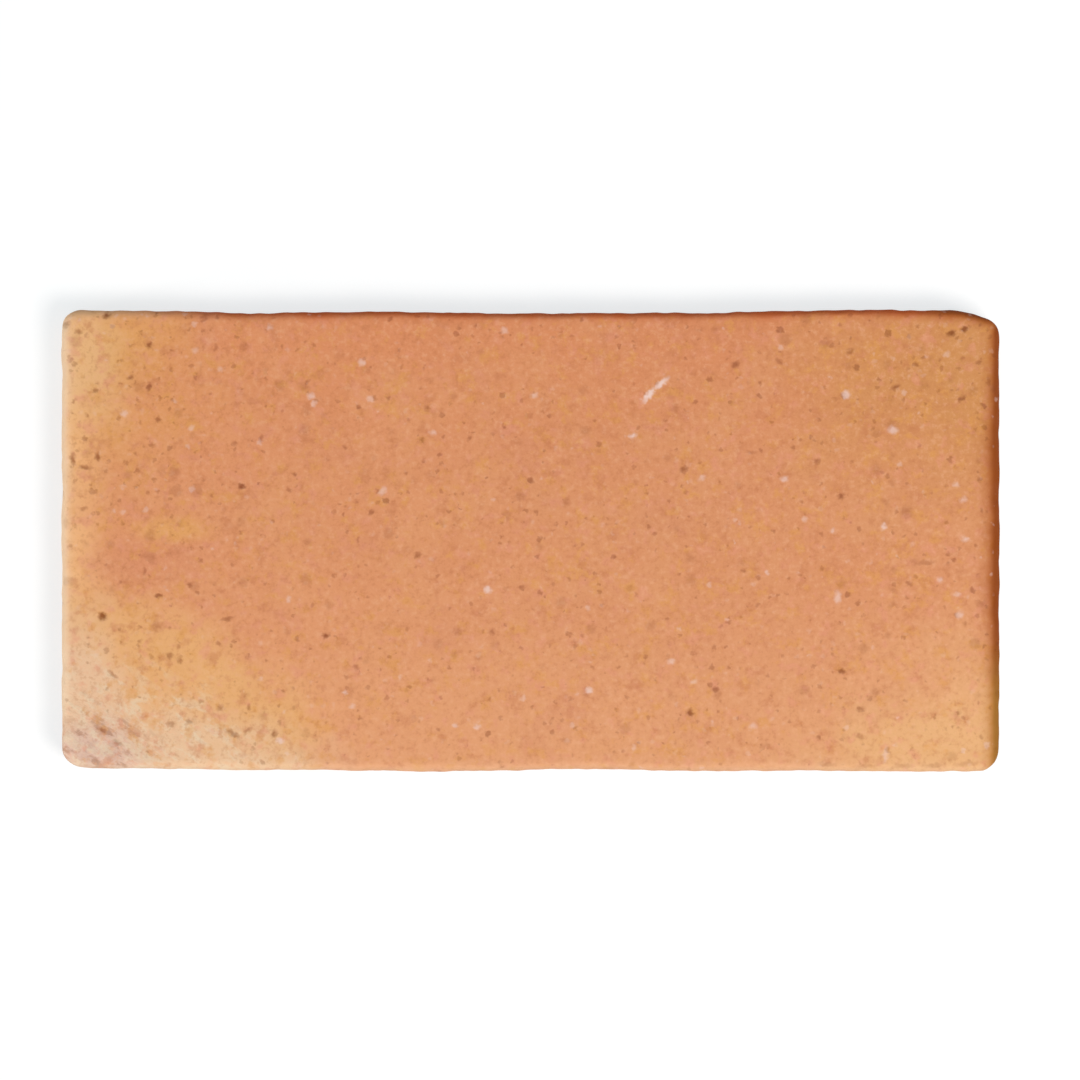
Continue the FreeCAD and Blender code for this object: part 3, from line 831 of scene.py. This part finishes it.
def with_wisps(tree, at, stray, colour):
    """The colour with wisps and creases, the noise behind them, and the corner's mask."""
    slanted = put(tree, "VectorRotate", {"rotation_type": "Z_AXIS"}, Vector=at, Angle=WISP_SLANT)
    drawn = vectors(tree, "MULTIPLY", slanted.outputs[0], WISP_STRETCH)
    wisp = put(tree, "TexNoise", Vector=drawn, Scale=1.0, Detail=4.0, Roughness=0.62).outputs[0]
    corner = on_the_face(tree, at, (-100.0, -52.0), (50.0, 33.0), 0.6, 1.0, stray[1], 0.8)
    # Pale wisps: whitish clay, and partly a painted highlight on the crests of the wrinkles.
    pale = maths(tree, "MULTIPLY", corner, ease(tree, wisp, 0.47, 0.62, 0.0, 0.6))
    colour = blend(tree, pale, colour, srgb(238, 214, 180))
    # Brown creases: partly painted shade in the troughs of the wrinkles.
    creased = on_the_face(tree, at, (-97.0, -46.0), (22.0, 12.0), 0.4, 1.1, stray[0], 1.0)
    brown_and_shade = maths(tree, "MULTIPLY", creased, ease(tree, wisp, 0.49, 0.38, 0.0, 0.75))
    return blend(tree, brown_and_shade, colour, srgb(178, 130, 104)), wisp, corner


colour, wisp, pale_corner = with_wisps(clay, at, stray, colour)
print("with wisps and creases:", len(clay.nodes), "nodes")

# %% [markdown]
# ## Mottling
# Close up, the body is a mixture: clouds of pink, ochre and brown clay a few millimetres
# across, and between them lighter and darker flecks of about one millimetre. A single noise
# between two colours would look like cloth, so each clay has its own paint and its own clouds.

# %% Mottle the body
def with_mottling(tree, at, colour):
    """The mottled colour, and its three small noises."""
    small = put(tree, "TexNoise", Vector=at, Scale=1 / 3.2, Detail=3.0, Roughness=0.6).outputs[1]
    small = put(tree, "SeparateColor", Color=small).outputs
    colour = blend(tree, ease(tree, small[0], 0.53, 0.70, 0.0, 0.5), colour, srgb(228, 150, 118))
    colour = blend(tree, ease(tree, small[1], 0.53, 0.70, 0.0, 0.5), colour, srgb(224, 156, 82))
    colour = blend(tree, ease(tree, small[2], 0.53, 0.72, 0.0, 0.45), colour, srgb(200, 124, 82))
    fine = cloud(tree, at, 1.1, 2.0, 0.6, 5.0)
    colour = blend(tree, ease(tree, fine, 0.5, 0.75, 0.0, 0.34), colour, srgb(240, 178, 136))
    return blend(tree, ease(tree, fine, 0.5, 0.25, 0.0, 0.30), colour, srgb(188, 112, 66)), small


colour, small_clouds = with_mottling(clay, at, colour)
print("with mottling:", len(clay.nodes), "nodes")

# %% [markdown]
# ## The rim's colours, with painted light and shade
# The mesh carries how much toast, flash and bloom each point has, and the material only gives
# them their colours; the toast's brown is partly painted shade and the bloom's cream partly
# painted light. Bands worked out in space would run straight where the outline wanders.
# The colours are whole on the shoulder, and a noise breaks them up on the wall.

# %% Colour the rim
def with_rim(tree, at, spot, colour):
    """Flash, then bloom and painted light, then toast and painted shade, which is thin and warm or deep and
    dark.
    """
    gap = ease(tree, cloud(tree, at, 7.0, 3.0, 0.65, 41.0), 0.40, 0.62, 0.0, 0.85)
    on_wall = ease(tree, spot[2], 8.4, 6.0)
    kept = maths(tree, "SUBTRACT", 1.0, maths(tree, "MULTIPLY", gap, on_wall))
    flashed, bloom_and_light_share, toast_and_shade_share = [
        maths(tree, "MULTIPLY", kept, put(tree, "Attribute", {"attribute_name": name}).outputs["Fac"])
        for name in ("flash", "bloom_and_painted_light", "toast_and_painted_shade")
    ]
    colour = blend(tree, ease(tree, flashed, 0.0, 1.0), colour, srgb(196, 92, 38))
    # The bloom's cream: partly a lime bloom and partly painted light on the edges.
    colour = blend(tree, ease(tree, bloom_and_light_share, 0.0, 1.0, 0.0, 0.95), colour, srgb(248, 216, 180))
    frontwards = ease(tree, spot[1], -18.0, -36.0)
    # Toast browns, thin and deep: partly toasted clay and partly painted shade on the right shoulder.
    thin_toast_and_shade = blend(tree, frontwards, srgb(166, 82, 10), srgb(172, 106, 20))
    deep_toast_and_shade = blend(tree, frontwards, srgb(142, 66, 6), srgb(158, 104, 34))
    brown_and_shade = blend(tree, ease(tree, toast_and_shade_share, 0.5, 1.0), thin_toast_and_shade, deep_toast_and_shade)
    return blend(tree, ease(tree, toast_and_shade_share, 0.0, 1.0), colour, brown_and_shade)


colour = with_rim(clay, at, spot, colour)
print("with the rim's colours:", len(clay.nodes), "nodes")

# %% [markdown]
# ## Scattering the grains
# Several layers of grains lie over each other, from fine to coarse. They crowd together in
# the two back corners and are few in the pale one, and a little noise added to the place
# makes their round shapes angular. The marks with a known place join them here.

# %% Dark pits and white grains
# spacing, share, radius, softness, seed, strength
COARSE_PITS = ((3.4, 0.36, 0.45, 0.26, 47.0, 0.62), (7.0, 0.30, 0.58, 0.28, 59.0, 0.75))
FINE_STAINS = ((2.2, 0.55, 0.34, 0.22, 31.0, 0.56), (4.6, 0.50, 0.90, 0.60, 95.0, 0.33))
COARSE_GROG = ((5.0, 0.35, 0.50, 0.28, 83.0, 0.60),)
FINE_GROG = ((2.6, 0.45, 0.38, 0.24, 71.0, 0.42),)
CROWDS = (((-95.0, 32.0), (42.0, 34.0)), ((90.0, 36.0), (40.0, 26.0)))
IRON_STAIN, PIT_SHARE = (0.30, 0.13, 0.03, 1.0), 0.70
WHITE_GROG, GROG_SHARE = srgb(242, 208, 194), 0.66


def grain_layers(tree, where, layers, density):
    """The strongest of several layers of grains, more of them where density is above 1."""
    strongest = 0.0
    for spacing, share, radius, softness, seed, strength in layers:
        moved = vectors(tree, "ADD", where, (seed, seed, seed))
        layer = use(tree, grains, Place=moved, Spacing=spacing, Radius=radius, Softness=softness,
                    Share=maths(tree, "MULTIPLY", density, share))
        strongest = maths(tree, "MAXIMUM", strongest, maths(tree, "MULTIPLY", layer[0], strength))
    return strongest


def grain_masks(tree, at, stray, corner):
    """Masks of pits, white grains, and the coarse ones of each, which shape the relief too."""
    jolt = put(tree, "TexNoise", Vector=at, Scale=1.0, Detail=1.0).outputs[1]
    jolt = vectors(tree, "SUBTRACT", jolt, (0.5, 0.5, 0.5))
    shaken = put(tree, "VectorMath", {"operation": "MULTIPLY_ADD"}, i0=jolt, i1=(1.2, 1.2, 1.2), i2=at)
    shaken = shaken.outputs[0]
    density = ease(tree, stray[1], -0.2, 0.2, 0.6, 1.3)
    for centre, size in CROWDS:
        crowd = on_the_face(tree, at, centre, size, 0.2, 1.1, stray[2], 0.8)
        density = maths(tree, "ADD", density, maths(tree, "MULTIPLY", crowd, 0.8))
    density = maths(tree, "MULTIPLY", density, ease(tree, corner, 0.0, 1.0, 1.0, 0.35))
    known = use(tree, mark, Place=shaken)
    holes = maths(tree, "MAXIMUM", known[0], grain_layers(tree, shaken, COARSE_PITS, density))
    knobs = maths(tree, "MAXIMUM", known[1], grain_layers(tree, shaken, COARSE_GROG, density))
    pits = maths(tree, "MAXIMUM", holes, grain_layers(tree, shaken, FINE_STAINS, density))
    whites = maths(tree, "MAXIMUM", knobs, grain_layers(tree, shaken, FINE_GROG, density))
    return pits, whites, holes, knobs


def capped(tree, mask, share):
    """A mask times a share, and never above 0.95, so that a little body shows through."""
    return maths(tree, "MINIMUM", maths(tree, "MULTIPLY", mask, share), 0.95)


pits, whites, holes, knobs = grain_masks(clay, at, stray, pale_corner)
colour = blend(clay, capped(clay, pits, PIT_SHARE), colour, IRON_STAIN, "MULTIPLY")
colour = blend(clay, capped(clay, whites, GROG_SHARE), colour, WHITE_GROG)
print("with grains:", len(clay.nodes), "nodes")

# %% [markdown]
# ## Roughness and relief
# The masks that paint the coarse grains drive the relief as well: a dark pit is a hole, a
# white grain stands a hair proud, the creased corner is wrinkled, and the clay between them
# is finely granular. Real holes would need a far denser mesh, and nobody could tell them
# apart at this size. The fired body is matt, a little more so in some clouds than in others.

# %% Finish the material and put it on the tile
SKIN_HEIGHT, PIT_HEIGHT, GROG_HEIGHT, WRINKLE_HEIGHT = 0.06, -0.10, 0.03, 0.6


def piled(tree, height, mask, amount):
    """A height with a mask times an amount added to it, in millimetres."""
    node = put(tree, "Math", {"operation": "MULTIPLY_ADD"}, i0=mask, i1=amount, i2=height)
    return node.outputs[0]


shader = clay.nodes["Principled BSDF"]
clay.links.new(colour, shader.inputs["Base Color"])
clay.links.new(ease(clay, small_clouds[1], 0.3, 0.7, 0.72, 0.9), shader.inputs["Roughness"])
shader.inputs["Specular IOR Level"].default_value = 0.3

height = maths(clay, "MULTIPLY", cloud(clay, at, 0.6, 2.0, 0.65, 7.0), SKIN_HEIGHT)
height = piled(clay, height, holes, PIT_HEIGHT)
height = piled(clay, height, knobs, GROG_HEIGHT)
cornerwards = ease(clay, maths(clay, "ADD", spot[0], spot[1]), -116.0, -140.0, 0.0, WRINKLE_HEIGHT)
height = piled(clay, height, wisp, cornerwards)
bump = put(clay, "Bump", Strength=1.0, Distance=MM, Height=height)
clay.links.new(bump.outputs[0], shader.inputs["Normal"])

tile.data.materials.append(porcelain)
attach(tile, "root")
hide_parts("tile")
print("finished material:", len(clay.nodes), "nodes")

# %% [markdown]
# ## The floor
# The tile lies on a plain white floor. White paint would throw much light back up at the
# edges, so this floor is painted light grey and glows a little for the camera alone: the
# ground looks clean and white, and still holds the tile's shadow.

# %% A floor that glows for the camera
FLOOR_HALF = 2500.0
FLOOR_DROP = 0.02
DARK_PAPER, PALE_PAPER = (0.41, 0.37, 0.345, 1.0), (0.43, 0.39, 0.365, 1.0)
NEAR_GLOW, FAR_GLOW = (0.645, 0.69, 0.71, 1.0), (0.85, 0.85, 0.85, 1.0)


def seen_or_mirrored(tree):
    """1 for what the camera sees, straight or in a mirror or glass, and 0 for lighting."""
    path = put(tree, "LightPath").outputs
    mirrored = maths(tree, "MAXIMUM", path["Is Glossy Ray"], path["Is Transmission Ray"])
    return maths(tree, "MAXIMUM", path["Is Camera Ray"], mirrored)


def floor_material():
    """Light grey for the room's light, and a glow for the eye that brightens further out."""
    material = bpy.data.materials.new("studio_floor")
    material.use_nodes = True
    tree = material.node_tree
    shader = tree.nodes["Principled BSDF"]
    shader.inputs["Roughness"].default_value = 0.9
    shader.inputs["Specular IOR Level"].default_value = 0.0
    at = put(tree, "TexCoord").outputs["Object"]
    paper = put(tree, "TexNoise", Vector=at, Scale=3.0, Detail=2.0).outputs[0]
    tree.links.new(blend(tree, paper, DARK_PAPER, PALE_PAPER), shader.inputs["Base Color"])
    away = put(tree, "VectorMath", {"operation": "LENGTH"}, i0=at).outputs[1]
    glow = blend(tree, ease(tree, away, 0.2, 0.8), NEAR_GLOW, FAR_GLOW)
    tree.links.new(glow, shader.inputs["Emission Color"])
    tree.links.new(seen_or_mirrored(tree), shader.inputs["Emission Strength"])
    return material


east_north = np.array([[-1, -1], [1, -1], [1, 1], [-1, 1]]) * FLOOR_HALF
floor = mesh_object("floor", np.insert(east_north, 2, -FLOOR_DROP, axis=1), np.array([[0, 1, 2, 3]]))
floor.data.materials.append(floor_material())
print(f"floor {2 * FLOOR_HALF * MM:.0f} m wide")

# %% [markdown]
# ## The light
# Even light comes from all round, a wide, soft lamp stands at the front right, and a low and
# weak one at the left opens up the left edge. A lamp's power says little by itself, so each
# lamp is given by the share of full light that it throws on a level face.

# %% World and lamps
ROOM_LIGHT = (0.42, 0.435, 0.455, 1.0)
WHITE = (1.0, 1.0, 1.0, 1.0)

world = bpy.data.worlds.new("studio")
bpy.context.scene.world = world
world.use_nodes = True
sky = world.node_tree.nodes["Background"]
tint = blend(world.node_tree, seen_or_mirrored(world.node_tree), ROOM_LIGHT, WHITE)
world.node_tree.links.new(tint, sky.inputs["Color"])


def soft_lamp(name, direction, distance, size, level):
    """A square lamp aimed at the tile, which gives a level face this share of full light.

    Power = level * pi**2 * distance**2 / sine of its elevation, in watts.
    """
    direction = np.array(direction) / np.linalg.norm(direction)
    data = bpy.data.lights.new(name, "AREA")
    data.shape = "SQUARE"
    data.size = size
    data.energy = level * math.pi**2 * distance**2 / direction[2]
    lamp = bpy.data.objects.new(name, data)
    lamp.location = direction * distance
    lamp.rotation_euler = (math.acos(direction[2]), 0.0, math.atan2(direction[0], -direction[1]))
    bpy.context.scene.collection.objects.link(lamp)
    print(f"{name}: {data.energy:.1f} W")


soft_lamp("front_lamp", direction=(0.56, -0.43, 1.0), distance=1.2, size=0.50, level=0.53)
soft_lamp("low_lamp", direction=(-0.95, -0.28, 0.07), distance=1.2, size=0.14, level=0.030)

# %% [markdown]
# ## The camera
# It looks straight down through a long lens, so the walls stay hidden. How far off it stands
# follows from the width that it should frame at the height of the face.

# %% Camera
FRAME_WIDTH = 230.0
LENS, SENSOR = 150.0, 36.0
CAMERA_OFF = (2.0, 0.2)

camera_data = bpy.data.cameras.new("camera")
camera_data.lens = LENS
camera_data.sensor_width = SENSOR
camera_data.clip_end = 20.0
camera = bpy.data.objects.new("camera", camera_data)
stand_off = FRAME_WIDTH * LENS / SENSOR
camera.location = (CAMERA_OFF[0] * MM, CAMERA_OFF[1] * MM, (THICKNESS + stand_off) * MM)
bpy.context.scene.collection.objects.link(camera)
bpy.context.scene.camera = camera
bpy.context.scene.view_settings.view_transform = "Standard"
print(f"camera {stand_off:.0f} mm above the face")
